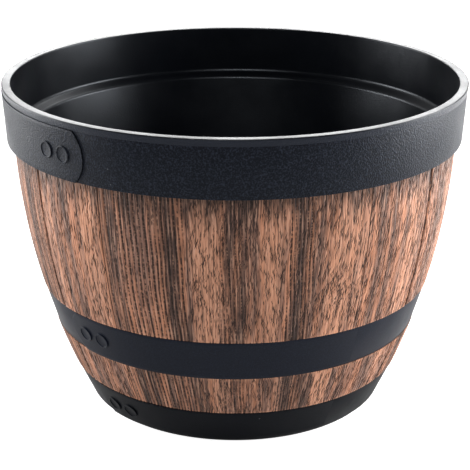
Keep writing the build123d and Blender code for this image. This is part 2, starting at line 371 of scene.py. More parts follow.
# %% [markdown]
# Three effects are shared by several finishes, so each is a node group. Fibre grain is the fine
# lengthwise streaking of sawn wood. Pebble grain is the skin of painted or moulded pieces, which
# looks like fine leather up close. Handling gives the faint smears and specks that any dark gloss
# surface gathers.

# %% A helper that starts a node group
def new_group(name, inputs, outputs):
    """A shader node group with named number inputs, and outputs given by name and kind."""
    group = bpy.data.node_groups.new(name, "ShaderNodeTree")
    for label, value in inputs.items():
        socket = group.interface.new_socket(label, in_out="INPUT", socket_type="NodeSocketFloat")
        socket.default_value = value
    for label, kind in outputs.items():
        group.interface.new_socket(label, in_out="OUTPUT", socket_type=kind)
    entry = group.nodes.new("NodeGroupInput")
    leave = group.nodes.new("NodeGroupOutput")
    return group, entry, leave


# %% Fibre grain
fibre_grain, entry, leave = new_group(
    "fibre grain",
    {"Fineness": 420.0, "Length": 14.0},
    {name: "NodeSocketFloat" for name in ("Fibre", "Patch", "Dash", "Bead")},
)
fineness = entry.outputs["Fineness"]
place = add_node(fibre_grain, "ShaderNodeTexCoord").outputs["Object"]
axes = add_node(fibre_grain, "ShaderNodeSeparateXYZ", {"Vector": place})
back = math_node(fibre_grain, "MULTIPLY", axes.outputs["Y"], -1.0)
turn = math_node(fibre_grain, "ARCTAN2", axes.outputs["X"], back)
bend = add_node(fibre_grain, "ShaderNodeTexNoise", {"Vector": place}, Scale=26.0)
bend = math_node(fibre_grain, "MULTIPLY", bend.outputs[0], 0.004)
across = math_node(fibre_grain, "MULTIPLY_ADD", turn, 0.1, bend)
along = math_node(fibre_grain, "DIVIDE", axes.outputs["Z"], entry.outputs["Length"])
strand = add_node(fibre_grain, "ShaderNodeCombineXYZ", {"X": across, "Z": along}).outputs[0]
fibres = add_node(
    fibre_grain, "ShaderNodeTexNoise", {"Vector": strand, "Scale": fineness}, Detail=4.0, Roughness=0.6
)
drift = math_node(fibre_grain, "MULTIPLY", fineness, 0.17)
patches = add_node(fibre_grain, "ShaderNodeTexNoise", {"Vector": strand, "Scale": drift}, Detail=3.0)
fibre_grain.links.new(fibres.outputs[0], leave.inputs["Fibre"])
fibre_grain.links.new(patches.outputs[0], leave.inputs["Patch"])
print("nodes for the fibres:", len(fibre_grain.nodes))

# %% [markdown]
# Two more patterns of the same group lie on the fibres' own coordinates, stretched by other amounts:
# short dark dashes, crowded where the patches are dark, and beads, which break a long groove up into
# a row of little pits.

# %% Dashes and beads of the fibre grain
def stretch_strand(share_across, share_along):
    """The fibres' coordinates in two dimensions, stretched across and along."""
    links = {
        "X": math_node(fibre_grain, "MULTIPLY", across, share_across),
        "Y": math_node(fibre_grain, "MULTIPLY", along, share_along),
    }
    return add_node(fibre_grain, "ShaderNodeCombineXYZ", links).outputs[0]


dashes = add_node(
    fibre_grain,
    "ShaderNodeTexVoronoi",
    {"Vector": stretch_strand(0.7, 2.1), "Scale": fineness},
    voronoi_dimensions="2D",
)
dash = map_range(fibre_grain, dashes.outputs["Distance"], 0.22, 0.08)
chance = add_node(fibre_grain, "ShaderNodeSeparateXYZ", {"Vector": dashes.outputs["Color"]})
crowd = map_range(fibre_grain, patches.outputs[0], 0.62, 0.38)
chance = math_node(fibre_grain, "MULTIPLY", chance.outputs["X"], crowd)
chance = math_node(fibre_grain, "MULTIPLY", chance, 2.2, clamp=True)
fibre_grain.links.new(math_node(fibre_grain, "MULTIPLY", dash, chance), leave.inputs["Dash"])
beads = add_node(
    fibre_grain,
    "ShaderNodeTexNoise",
    {"Vector": stretch_strand(0.3, 11.0), "Scale": fineness},
    noise_dimensions="2D",
    Detail=1.0,
)
fibre_grain.links.new(map_range(fibre_grain, beads.outputs[0], 0.36, 0.58), leave.inputs["Bead"])
print("nodes with the dashes and beads:", len(fibre_grain.nodes))

# %% Pebble grain
pebble_grain, entry, leave = new_group(
    "pebble grain", {"Size": 900.0, "Evenness": 0.5}, {"Relief": "NodeSocketFloat"}
)
place = add_node(pebble_grain, "ShaderNodeTexCoord")
cells = add_node(
    pebble_grain,
    "ShaderNodeTexVoronoi",
    {"Vector": place.outputs["Object"], "Scale": entry.outputs["Size"]},
    feature="SMOOTH_F1",
)
grit = add_node(
    pebble_grain,
    "ShaderNodeTexNoise",
    {"Vector": place.outputs["Object"], "Scale": entry.outputs["Size"]},
    Detail=3.0,
)
relief = add_node(
    pebble_grain,
    "ShaderNodeMix",
    {"Factor": entry.outputs["Evenness"], "A": cells.outputs["Distance"], "B": grit.outputs[0]},
)
pebble_grain.links.new(relief.outputs[0], leave.inputs["Relief"])
print("nodes in the pebble grain:", len(pebble_grain.nodes))

# %% Handling
handling, entry, leave = new_group(
    "handling", {"Smears": 1.0, "Specks": 1.0}, {"Smear": "NodeSocketFloat", "Speck": "NodeSocketFloat"}
)
place = add_node(handling, "ShaderNodeTexCoord").outputs["Object"]
clouds = add_node(
    handling, "ShaderNodeTexNoise", {"Vector": place}, Scale=38.0, Detail=5.0, Roughness=0.62
)
smear = map_range(handling, clouds.outputs[0], 0.42, 0.68)
dots = add_node(handling, "ShaderNodeTexVoronoi", {"Vector": place}, Scale=230.0)
near = map_range(handling, dots.outputs["Distance"], 0.11, 0.05)
rare = math_node(handling, "GREATER_THAN", smear, 0.8)
speck = math_node(handling, "MULTIPLY", near, rare)
smear = math_node(handling, "MULTIPLY", smear, entry.outputs["Smears"])
speck = math_node(handling, "MULTIPLY", speck, entry.outputs["Specks"])
handling.links.new(smear, leave.inputs["Smear"])
handling.links.new(speck, leave.inputs["Speck"])
print("nodes in the handling group:", len(handling.nodes))

# %% [markdown]
# A finish is a material: one Principled BSDF, with colours, roughness and relief led into it. These
# helpers start one, place a node group in it, blend two colours, and read a number that is stored
# on the mesh.

# %% Helpers for a finish
def use_group(tree, group, **values):
    """Places a node group in a material with its own values."""
    made = tree.nodes.new("ShaderNodeGroup")
    made.node_tree = group
    for name, value in values.items():
        made.inputs[name].default_value = value
    return made


def blend_colour(tree, share, first, second, how="MIX"):
    """Blends two colours, each a value or another node's output."""
    made = tree.nodes.new("ShaderNodeMix")
    made.data_type = "RGBA"
    made.blend_type = how
    tree.links.new(share, made.inputs[0])
    for place, value in ((6, first), (7, second)):
        if isinstance(value, bpy.types.NodeSocket):
            tree.links.new(value, made.inputs[place])
        else:
            made.inputs[place].default_value = value
    return made.outputs[2]


def read_attribute(tree, name):
    """A number stored on the mesh."""
    made = tree.nodes.new("ShaderNodeAttribute")
    made.attribute_name = name
    return made.outputs["Fac"]


def new_finish(name):
    """A material with an empty tree but for its Principled BSDF and its output."""
    finish = bpy.data.materials.new(name)
    finish.use_nodes = True
    return finish, finish.node_tree, finish.node_tree.nodes["Principled BSDF"]


# %% [markdown]
# The wood is walnut brown with charcoal streaks. Where the streaks and the pores lie is decided
# with the relief of each stave, further down, and stored on the mesh as attributes: one darkens, for
# the streaks and for a painted shade under the rim hoop, one lifts the colour, for the pale bands and
# for painted highlights by the hoops and at one joint, and groove and pore blacken and dull it. The
# finish turns them into colour and adds the fine fibres, their pale ridges, which are partly a
# painted highlight, and the small dashes in between.

# %% Stave wood
walnut = shade(180, 122, 92)
walnut_light = shade(197, 142, 113)
walnut_dull = shade(132, 96, 81)
charcoal = shade(54, 38, 33)
pore_black = shade(28, 18, 17)
ridge_pale_and_highlight = shade(206, 163, 139)

stave_wood, tree, wood_shader = new_finish("stave wood")
grain = use_group(tree, fibre_grain, Fineness=1500.0, Length=22.0)
fibre = grain.outputs["Fibre"]
patch = grain.outputs["Patch"]
patch_share = map_range(tree, patch, 0.4, 0.6)
tan = blend_colour(tree, patch_share, walnut_dull, walnut)
# The pale attribute holds the pale bands and the painted highlights beside the hoops and at one joint.
tan = blend_colour(tree, read_attribute(tree, "pale_and_highlight"), tan, walnut_light)
streak_edge = math_node(tree, "MULTIPLY_ADD", fibre, 1.1, -0.55)
streak_drift = math_node(tree, "MULTIPLY_ADD", patch, -1.2, 0.6)
# The streak attribute holds the dark streaks and the painted shade under the rim hoop.
streak_and_shade = math_node(tree, "ADD", read_attribute(tree, "streak_and_shade"), streak_edge)
streak_and_shade = math_node(tree, "ADD", streak_and_shade, streak_drift)
colour = blend_colour(tree, map_range(tree, streak_and_shade, -0.05, 1.15, high=0.95), tan, charcoal)
colour = blend_colour(tree, map_range(tree, fibre, 0.5, 0.65, high=0.75), colour, pore_black)
# Pale ridges beside the fibres: grain tone, and a painted highlight on the ridges.
colour = blend_colour(tree, map_range(tree, fibre, 0.47, 0.35, high=0.5), colour, ridge_pale_and_highlight)
bead_share = map_range(tree, grain.outputs["Bead"], 0, 1, low=0.5)
groove = math_node(tree, "MULTIPLY", read_attribute(tree, "groove"), bead_share)
dark = math_node(tree, "MAXIMUM", groove, math_node(tree, "MULTIPLY", grain.outputs["Dash"], 0.95))
dark = math_node(tree, "MAXIMUM", dark, math_node(tree, "MULTIPLY", read_attribute(tree, "pore"), 0.85))
pore_share = map_range(tree, dark, 0.12, 0.62, high=0.94)
colour = blend_colour(tree, pore_share, colour, pore_black)
tree.links.new(colour, wood_shader.inputs["Base Color"])
wood_dull = map_range(tree, pore_share, 0, 1, 0.42, 0.7)
tree.links.new(wood_dull, wood_shader.inputs["Roughness"])
wood_height = math_node(tree, "MULTIPLY_ADD", dark, -0.6, fibre)
wood_bump = add_node(tree, "ShaderNodeBump", {"Height": wood_height}, Strength=0.9, Distance=0.35 * mm)
tree.links.new(wood_bump.outputs[0], wood_shader.inputs["Normal"])
wood_shader.inputs["Specular IOR Level"].default_value = 0.3
wood_shader.inputs["Specular Tint"].default_value = (1, 0.92, 0.86, 1)
print("nodes in the stave wood:", len(tree.nodes))

# %% [markdown]
# Everything else on the tub is black, in four skins that one function makes. The rim hoop's paint is
# coarse and looks like leather, the middle hoop's is smooth, the base hoop's is the same paint made
# darker still as painted shade, and the liner is plain plastic. The grain's peaks are a little lighter,
# partly as worn paint and partly as a painted highlight. Two attributes mark places on a mesh:
# leather, where the skin turns as coarse as the rim hoop's, and one where it goes black and dull as
# a painted shadow.

# %% Hoop paint and liner plastic
worn_grey = shade(150, 152, 158)
leather_black = shade(24, 27, 36)
# Painted shadow: the black of the lap tip's wall, which stands in for its shade.
painted_shadow_black = shade(1, 1, 2)


def black_finish(
    name, colour, peak, roughness, pebble=1500.0, evenness=0.5, depth=0.05 * mm, strength=1.0, ior=1.22
):
    """A black skin with a pebble grain and lighter peaks, smears, a few pale specks, and painted shadow
    where marked.
    """
    finish, tree, shader = new_finish(name)
    skin = use_group(tree, pebble_grain, Size=pebble, Evenness=evenness)
    touch = use_group(tree, handling, Smears=1.0, Specks=0.3)
    painted_shadow = read_attribute(tree, "painted_shadow")
    leather = read_attribute(tree, "leather")
    # Lighter colour on the grain's peaks: partly worn paint, partly a painted highlight where the grain
    # would glint.
    on_peak = map_range(tree, skin.outputs["Relief"], 0.42, 0.62)
    mixed = blend_colour(tree, on_peak, shade(*colour), shade(*peak))
    mixed = blend_colour(tree, touch.outputs["Speck"], mixed, worn_grey)
    mixed = blend_colour(tree, leather, mixed, leather_black)
    # Painted shadow: marked places turn black and dull, as if in shade.
    mixed = blend_colour(tree, painted_shadow, mixed, painted_shadow_black)
    tree.links.new(mixed, shader.inputs["Base Color"])
    dull = map_range(tree, touch.outputs["Smear"], 0, 1, roughness, roughness + 0.09)
    dull = math_node(tree, "MULTIPLY_ADD", painted_shadow, 0.4, dull)
    tree.links.new(dull, shader.inputs["Roughness"])
    coarse = math_node(tree, "MULTIPLY_ADD", leather, 5.0, 1.0)
    pebbles = math_node(tree, "MULTIPLY", skin.outputs["Relief"], coarse)
    bump = add_node(tree, "ShaderNodeBump", {"Height": pebbles}, Strength=strength, Distance=depth)
    tree.links.new(bump.outputs[0], shader.inputs["Normal"])
    shader.inputs["IOR"].default_value = ior
    shader.inputs["Specular Tint"].default_value = (0.84, 0.91, 1.0, 1)
    return finish


fine_skin = {"pebble": 1900.0, "evenness": 0.7, "strength": 0.3}
rim_paint = black_finish("rim hoop paint", (12, 14, 20), (35, 39, 49), 0.4, depth=0.3 * mm)
hoop_paint = black_finish("hoop paint", (15, 18, 27), (24, 28, 39), 0.36, **fine_skin)
# Painted shade: the base hoop gets the middle hoop's paint made darker and less glossy, for the shade low
# by the floor.
shaded_base_paint = black_finish("shaded base hoop paint", (6, 7, 11), (12, 14, 20), 0.38, ior=1.17, **fine_skin)
liner_plastic = black_finish("liner plastic", (2, 3, 6), (5, 6, 10), 0.3, ior=1.32)
print("finishes so far:", sorted(finish.name for finish in bpy.data.materials if finish.use_nodes))

# %% [markdown]
# A stave is drawn once as an outline: its bowed face with the two seats for the hoops, the bevelled
# chime at the top, and the hollow back with the croze, the groove that holds the bottom head. The
# outline is spun by one stave's share of the circle, and fine rows and columns on the face leave
# room for the carving of the grain.

# %% Outline of a stave
stave_pitch = 360 / stave_count
stave_turn = stave_pitch - degrees(stave_gap / neck_r)
face_columns = 168
face_row = 0.85 * mm
head_r = shell_r(head_edge_top, stave_t) + croze_depth


def face_rows(low, high):
    """Points up the bowed face between two heights."""
    count = int(round((high - low) / face_row))
    return [(shell_r(z), z) for z in np.linspace(low, high, count + 1)]


seat_low_z = middle_hoop_z - hoop_gap
seat_high_z = middle_top + hoop_gap
base_seat_z = base_hoop_h + hoop_gap
croze_low = head_edge_z - croze_gap
croze_high = head_edge_top + croze_gap
stave_outline = [
    (strap_r(stave_foot_z, 0, base_hoop_h, hoop_seat), stave_foot_z),
    (strap_r(base_seat_z, 0, base_hoop_h, hoop_seat), base_seat_z),
    *face_rows(base_seat_z, seat_low_z),
    (strap_r(seat_low_z, middle_hoop_z, middle_top, hoop_seat), seat_low_z),
    (strap_r(seat_high_z, middle_hoop_z, middle_top, hoop_seat), seat_high_z),
    *face_rows(seat_high_z, chime_z),
]
back_heights = np.linspace(chime_in_z, croze_high, 9)
stave_outline += [(shell_r(z, stave_t), z) for z in back_heights]
stave_outline += [
    (head_r + croze_gap, croze_high),
    (head_r + croze_gap, croze_low),
    (shell_r(croze_low, stave_t), croze_low),
    (shell_r(stave_foot_z, stave_t), stave_foot_z),
]
print("points in a stave's outline:", len(stave_outline))

# %% Spin one stave and close its two joint faces
blank = draw_outline("stave_blank", stave_outline, stave_turn / 2)
spin_outline(blank, stave_turn, face_columns)
begin_piece()
blank.select_set(True)
bpy.context.view_layer.objects.active = blank
bpy.ops.object.mode_set(mode="EDIT")
for side in (-1, 1):
    bpy.ops.mesh.select_all(action="DESELECT")
    bpy.ops.object.mode_set(mode="OBJECT")
    for corner in blank.data.vertices:
        angle = degrees(atan2(corner.co.x, -corner.co.y))
        corner.select = abs(angle - side * stave_turn / 2) < 0.01
    bpy.ops.object.mode_set(mode="EDIT")
    bpy.ops.mesh.select_mode(type="VERT")
    bpy.ops.mesh.edge_face_add()
bpy.ops.mesh.select_all(action="SELECT")
bpy.ops.mesh.normals_make_consistent(inside=False)
bpy.ops.object.mode_set(mode="OBJECT")
print("faces in a stave:", len(blank.data.polygons))

# %% [markdown]
# The grain is carved by numbers. Each streak of dark wood is a band across the face, given by its
# middle at the top of the tub, its middle at the foot, and half its width, all in degrees round the
# tub. The front is listed band by band, to look like the real planter's, and the rest is drawn by lot.

# %% Streaks, lined wood and pores round the tub
streaks = [
    # middle at the top, middle at the foot, half width, strength
    (-47.5, -48.0, 3.2, 0.55),
    (-31.9, -30.8, 2.0, 0.8),
    (-15.6, -14.2, 2.9, 1.0),
    (-0.4, 1.6, 2.6, 0.8),
    (4.6, 4.0, 1.6, 0.3),
    (16.1, 16.9, 2.5, 1.0),
    (21.3, 20.3, 2.2, 0.4),
    (38.5, 41.0, 4.0, 0.5),
    (47.0, 46.0, 1.2, 0.3),
    (-61.0, -60.0, 2.2, 0.5),
]
low_streaks = [
    # the same below the middle hoop
    (-45.5, -45.5, 4.5, 0.5),
    (-26.5, -26.5, 4.2, 1.0),
    (-18.5, -18.5, 3.0, 0.5),
    (-10.0, -10.0, 2.5, 1.0),
    (2.6, 2.6, 3.2, 0.65),
    (8.4, 8.4, 1.4, 0.4),
    (17.8, 17.8, 4.2, 1.0),
    (36.5, 36.5, 2.2, 0.4),
    (45.0, 45.0, 3.0, 0.4),
]
lined = [
    # from, to, strength of the beaded lines, degrees from line to line
    (-33.4, -29.6, 0.7, 1.3),
    (-29.6, -19.0, 0.95, 1.25),
    (-19.0, -12.0, 1.0, 1.0),
    (-4.0, 3.0, 0.75, 0.9),
    (12.5, 19.5, 0.9, 0.95),
    (36.0, 45.0, 0.35, 1.2),
    (47.0, 56.0, 0.35, 1.3),
]
pored = [
    # from, to, pores per square centimetre, slope of the pores
    (-56.0, -46.0, 6, 0.05),
    (-46.0, -34.0, 8, 0.0),
    (-11.0, 2.0, 8, -0.04),
    (2.0, 11.5, 9, -0.12),
    (11.5, 19.0, 5, 0.0),
    (19.0, 33.5, 9, 0.05),
    (33.5, 56.0, 9, 0.16),
]
pale_and_highlight = [
    # middle at the top, middle at the foot, half width, strength
    (-52.5, -52.5, 1.6, 0.5),
    (-37.5, -38.5, 3.2, 0.55),
    (-6.5, -6.5, 3.2, 0.7),
    (9.8, 8.5, 2.4, 0.6),
    (28.5, 25.0, 3.6, 0.6),
    # A painted highlight: the thin bright line of a stave edge that stands proud at its joint.
    (32.8, 32.8, 0.4, 1.0),
    (50.5, 50.0, 3.2, 0.6),
]
low_pale = [
    # the same below the middle hoop
    (-33.5, -33.5, 1.0, 0.5),
    (-4.2, -4.2, 1.8, 0.7),
    (12.0, 12.0, 0.8, 0.6),
    (26.0, 26.0, 2.4, 0.9),
    (50.0, 50.0, 3.0, 0.5),
]
knots = [
    # angle, height, half width in degrees, half height, number of pores, slope
    (26.0, 87 * mm, 6.5, 9 * mm, 110, 0.9),
    (-8.5, 92 * mm, 2.0, 14 * mm, 26, -0.5),
]
print("bands set by hand:", sum(len(bands) for bands in (streaks, low_streaks, pale_and_highlight, low_pale)))

# %% Bands drawn by lot for the sides and the back
front_half = 56.25
rng = np.random.default_rng(14)
for first in np.arange(front_half, 360 - front_half, stave_pitch / 2):
    middle = first + rng.uniform(2, 9)
    dark_band = (middle, middle + rng.uniform(-1.5, 2.5), rng.uniform(1.4, 3.2), rng.uniform(0.5, 1.0))
    pale_band = (middle + 5, middle + 5, rng.uniform(2, 4), rng.uniform(0.3, 0.7))
    for bands in (streaks, low_streaks):
        bands.append(dark_band)
    for bands in (pale_and_highlight, low_pale):
        bands.append(pale_band)
    if rng.random() < 0.4:
        lined.append((first, first + stave_pitch / 2, rng.uniform(0.5, 1.0), rng.uniform(0.95, 1.3)))
    else:
        pored.append((first, first + stave_pitch / 2, rng.uniform(8, 15), rng.uniform(-0.15, 0.15)))
print("streaks round the whole tub:", len(streaks))

# %% [markdown]
# Four functions lay the grain on one stave, one for each kind of mark. Each gets the corners of the
# stave's mesh as plan angles and heights, and says how strong its mark is at each corner, from 0 to
# 1. The first reads the bands: the streaks sway a little on their way up, a painted shade darkens
# the wood under the rim hoop, and a painted highlight lightens the edges beside the hoops.

# %% Streaks, pale bands, painted shade and painted highlights on a stave
painted_shade_z = 123 * mm
seat_edges = np.array([base_seat_z, seat_low_z, seat_high_z])


def off_middle(angle, middle):
    """Degrees from a middle, the short way round the tub."""
    return (angle - middle + 180) % 360 - 180


def lean_band(angle, z, bands):
    """Strength of the bands at each point, with soft edges."""
    total = np.zeros_like(angle)
    share = np.clip((z - base_hoop_h) / (rim_hoop_z - base_hoop_h), 0, 1)
    for top, foot, half, strength in bands:
        middle = foot + (top - foot) * share
        away = np.abs(off_middle(angle, middle))
        total = np.maximum(total, strength * np.clip((half + 1 - away) / 2, 0, 1))
    return total


def stain_and_light_stave(angle, z, seed):
    """Strength of the dark streaks with the painted shade, and of the pale bands with the painted
    highlights.
    """
    sway = 0.5 * np.sin(z / mm / 19 + 1.7 * seed) + 0.3 * np.sin(z / mm / 8.5 + seed)
    upper = z > middle_hoop_z
    streak_and_shade = np.where(
        upper, lean_band(angle + sway, z, streaks), lean_band(angle + sway, z, low_streaks)
    )
    streak_and_shade = streak_and_shade * (0.88 + 0.12 * np.sin(z / mm / 11 + seed))
    # Painted shade: the wood darkens towards the rim hoop, where the hoop's shadow falls.
    painted_shade = np.clip((z - painted_shade_z + 3 * mm * np.sin(angle * 0.9)) / (10 * mm), 0, 1)
    streak_and_shade = np.maximum(streak_and_shade, 0.9 * painted_shade)
    light = np.where(upper, lean_band(angle + sway, z, pale_and_highlight), lean_band(angle + sway, z, low_pale))
    # Painted highlight: a pale line along the wood's edges beside the hoops, where the edges catch the
    # light.
    to_hoop = np.abs(z[:, None] - seat_edges).min(axis=1)
    light = np.maximum(light, np.clip(1.3 - to_hoop / (0.8 * mm), 0, 1))
    return streak_and_shade, light


# %% [markdown]
# Lined wood is a row of narrow grooves. They run up the stave at one pitch, with a slight wave and
# a slight lean, and each groove has a depth of its own.

# %% Lines on a stave
line_lean = 1.25 / (70 * mm)  # degrees that a line leans to the side, for each metre up


def line_stave(angle, off, z, seed):
    """Strength of the grooves of the lined wood."""
    wave = 0.18 * np.sin(z / mm / 17 + seed) + 0.1 * np.sin(z / mm / 6.3 + 2 * seed)
    groove = np.zeros_like(z)
    for start, end, strength, pitch in lined:
        middle, half = (start + end) / 2, (end - start) / 2
        away = np.abs(off_middle(angle, middle))
        zone = strength * np.clip((half + 0.4 - away) / 0.8, 0, 1)
        phase = (off + wave + line_lean * z) / pitch
        number = np.floor(phase)
        deep = 0.8 + 0.2 * np.sin(number * 2.4 + z / mm / 13)
        line = (0.5 - 0.5 * np.cos(2 * pi * phase)) ** 1.3 * deep
        groove = np.maximum(groove, zone * line)
    return groove


# %% [markdown]
# A pore is a short thin dash that leans a little. Each zone gets its number of them by lot, and a
# knot gathers many, leaning either way. Only the corners near a pore are looked at, since a stave
# has thousands of corners and hundreds of pores.

# %% Pores on a stave
pore_crowding = 1.7  # pores drawn for each one that the lists ask for
half_turn = stave_turn / 2


def scatter_pores(middle_angle, lot):
    """Angle, height, length in mm, thickness in mm and slope of each pore of a stave."""
    pores = []
    for start, end, density, slope in pored:
        zone_start = off_middle(start, middle_angle)
        low = max(-half_turn, zone_start)
        high = min(half_turn, zone_start + end - start)
        if high <= low:
            continue
        area = radians(high - low) * neck_r * (rim_hoop_z - base_hoop_h) / (10 * mm) ** 2
        for _ in range(int(pore_crowding * density * area)):
            place = (lot.uniform(low, high), lot.uniform(base_hoop_h, rim_hoop_z))
            pores.append((*place, lot.uniform(0.8, 3.2), lot.uniform(0.13, 0.24), slope))
    for at, at_z, wide, tall, count, slope in knots:
        middle = off_middle(at, middle_angle)
        for _ in range(count if abs(middle) < half_turn + wide else 0):
            place = (lot.normal(middle, wide / 2), lot.normal(at_z, tall / 2))
            size = (lot.uniform(0.5, 1.1), lot.uniform(0.16, 0.26))
            pores.append((*place, *size, slope * lot.choice((-1, 1))))
    return pores


def sink_pores(pores, off, z, span, face):
    """Strength of the pores on a stave's face. Span is the width of a degree in mm."""
    pore = np.zeros_like(z)
    for at, at_z, length, thick, slope in pores:
        close = np.nonzero((np.abs(off - at) < 1.2) & (np.abs(z - at_z) < 4 * mm) & face)[0]
        dz = (z[close] - at_z) / mm
        ds = (off[close] - at) * span[close] - slope * dz
        ds = ds + 0.22 * np.sin(dz * 1.7 + 9 * at)
        value = np.exp(-((ds / thick) ** 2) - (dz / length) ** 4)
        pore[close] = np.maximum(pore[close], value)
    return pore


print("pores on the front stave:", len(scatter_pores(0, np.random.default_rng(1))))

# %% [markdown]
# The two edges of a stave are eased, so each joint shows as a fine groove. On this tub the joints
# near the front are so tight that the grain almost runs across them, and further round they open.

# %% Joints of a stave
joint_w = 0.32  # width of the eased edge in mm
front_joints = {-56.25: 1.2, -33.75: 0.4, -11.25: 0.16, 11.25: 0.16, 33.75: 0.25, 56.25: 1.2}


def ease_joints(angle, off, span):
    """Strength of the eased edges, and their width at each corner."""
    edge = (half_turn - np.abs(off)) * span
    here_w = np.full_like(angle, joint_w)
    for joint, width in front_joints.items():
        here_w[np.abs(off_middle(angle, joint)) < 3] = width
    return np.clip(1 - edge / here_w, 0, 1) ** 1.4, here_w


# %% [markdown]
# Each copy of the stave is turned to its place and carved. The carving moves the face inwards only,
# so the tub never outgrows its frame. Dark wood lies a little lower, grooves and pores lower still,
# and the whole face is slightly uneven, as split wood is.

# %% Carve the staves
streak_depth = 0.10  # the depths are in mm
groove_depth = 0.24
pore_depth = 0.24
swell = 0.05
deepest_cut = 1.4


def carve_stave(piece, middle_angle, seed):
    """Sinks the grain into one stave's face, and stores it on the mesh for the finish to read."""
    mesh = piece.data
    points = np.empty(len(mesh.vertices) * 3)
    mesh.vertices.foreach_get("co", points)
    points = points.reshape(-1, 3)
    radius = np.hypot(points[:, 0], points[:, 1])
    z = points[:, 2]
    angle = np.degrees(np.arctan2(points[:, 0], -points[:, 1]))
    off = off_middle(angle, middle_angle)
    face = radius > shell_r(z) - 0.02 * mm
    span = np.radians(1) * radius / mm

    streak_and_shade, light = stain_and_light_stave(angle, z, seed)
    groove = line_stave(angle, off, z, seed)
    pores = scatter_pores(middle_angle, np.random.default_rng(seed))
    pore = sink_pores(pores, off, z, span, face)
    joint, here_w = ease_joints(angle, off, span)

    depth = streak_depth * streak_and_shade + groove_depth * groove + pore_depth * pore
    depth = depth + joint * here_w
    depth = depth + swell * (1 + np.sin(off * 3.1 + seed) * np.sin(off * 7.7 + z / mm / 40))
    depth = np.clip(depth, 0, deepest_cut) * mm
    scale = np.where(face, (radius - depth) / radius, 1)
    points[:, 0] *= scale
    points[:, 1] *= scale
    mesh.vertices.foreach_set("co", points.ravel())

    sunk = np.clip(pore + joint * np.clip(2 * here_w, 0, 1), 0, 1)
    stored = {"streak_and_shade": streak_and_shade, "pale_and_highlight": light, "groove": groove, "pore": sunk}
    for name, values in stored.items():
        layer = mesh.attributes.new(name, "FLOAT", "POINT")
        layer.data.foreach_set("value", np.where(face, values, 0).astype(np.float32))
    mesh.update()
    return depth[face].max() / mm


for number in range(stave_count):
    name = f"stave_{number + 1:02d}"
    middle_angle = number * stave_pitch
    begin_piece()
    blank.select_set(True)
    bpy.context.view_layer.objects.active = blank
    bpy.ops.object.duplicate()
    stave = bpy.context.object
    stave.name = stave.data.name = name + "_carved"
    stave.data.transform(Matrix.Rotation(radians(middle_angle), 4, "Z"))
    deepest = carve_stave(stave, middle_angle, number + 1)
    smooth_piece(stave, 40)
    seat_piece(stave, "barrel", [name], stave_wood)
    if number == 0:
        print("deepest carving on the front stave in mm:", round(deepest, 2))
bpy.data.objects.remove(blank)

# %% [markdown]
# The bottom head shows only from below, through the foot. Its node has the right shape, so it stays
# and gets a plain board finish: the same fibres, with no streaks.

# %% Bottom head
head_wood, tree, head_shader = new_finish("head wood")
board = use_group(tree, fibre_grain, Fineness=900.0, Length=9.0)
board_colour = blend_colour(tree, board.outputs["Fibre"], shade(168, 122, 92), shade(96, 72, 60))
tree.links.new(board_colour, head_shader.inputs["Base Color"])
head_shader.inputs["Roughness"].default_value = 0.6
bottom_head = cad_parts["bottom_head"]
for place in bottom_head.material_slots:
    place.material = head_wood
print("bottom head's slots:", len(bottom_head.material_slots))

# %% [markdown]
# The hoops are flat straps bent round the tub. The rim hoop leans out a little, grips the stave
# tops with an inward flange, and stands proud of the wood. The middle and base hoops lie in their
# seats, and the base hoop turns in under the staves as a foot.

# %% Turn the hoops
hoop_steps = 288
hoop_bevel = 0.22 * mm


def turn_hoop(name, outline, node, finish):
    """Turns a hoop, eases its edges and seats it."""
    hoop = draw_outline(name, outline, 0)
    spin_outline(hoop, 360, hoop_steps)
    bevel_edges(hoop, hoop_bevel, 3, 30)
    smooth_piece(hoop)
    seat_piece(hoop, "barrel", [node], finish)
    print(name, "outer radius in mm:", round(max(r for r, z in outline) / mm, 2))


rim_outline = [
    (rim_face_r(rim_hoop_z), rim_hoop_z),
    (rim_face_r(rim_hoop_top_z), rim_hoop_top_z),
    (rim_face_r(rim_hoop_top_z) - rim_hoop_t, rim_hoop_top_z),
    (rim_face_r(chime_z) - rim_hoop_t, chime_z),
    (shell_r(chime_z) + hoop_gap, chime_z),
    (shell_r(rim_hoop_z) + hoop_gap, rim_hoop_z),
]
turn_hoop("rim_hoop_turned", rim_outline, "rim_hoop", rim_paint)
middle_outline = [
    (shell_r(middle_hoop_z, hoop_recess), middle_hoop_z),
    (shell_r(middle_top, hoop_recess), middle_top),
    (shell_r(middle_top, hoop_back), middle_top),
    (shell_r(middle_hoop_z, hoop_back), middle_hoop_z),
]
turn_hoop("middle_hoop_turned", middle_outline, "middle_hoop", hoop_paint)
foot_bevel = 2.4 * mm
base_lean = (shell_r(base_hoop_h, hoop_recess) - shell_r(0, hoop_recess)) / base_hoop_h
base_outline = [
    (shell_r(0, hoop_recess) - foot_bevel, 0),
    (shell_r(0, hoop_recess) - foot_bevel * 0.35, foot_bevel * 0.25),
    (shell_r(0, hoop_recess) + base_lean * foot_bevel, foot_bevel),
    (shell_r(base_hoop_h, hoop_recess), base_hoop_h),
    (shell_r(base_hoop_h, hoop_back), base_hoop_h),
    (shell_r(foot_t, hoop_back), foot_t),
    (foot_r - foot_w, foot_t),
    (foot_r - foot_w, 0),
]
turn_hoop("base_hoop_turned", base_outline, "base_hoop", shaded_base_paint)

# %% [markdown]
# Each hoop is one strap whose rounded end is riveted over its start. The end is a thin plate that
# lies on the hoop: a grid gives its rows and columns, each column is drawn in to the round of the
# end, and then the plate is laid round the hoop with its rise running out behind it. Solidify and
# Bevel give it thickness and a crisp edge.

# %% Laps
Lap = namedtuple("Lap", "hoop tip_angle toward low_z plate_low_z high_z end_r face_r paint slot")


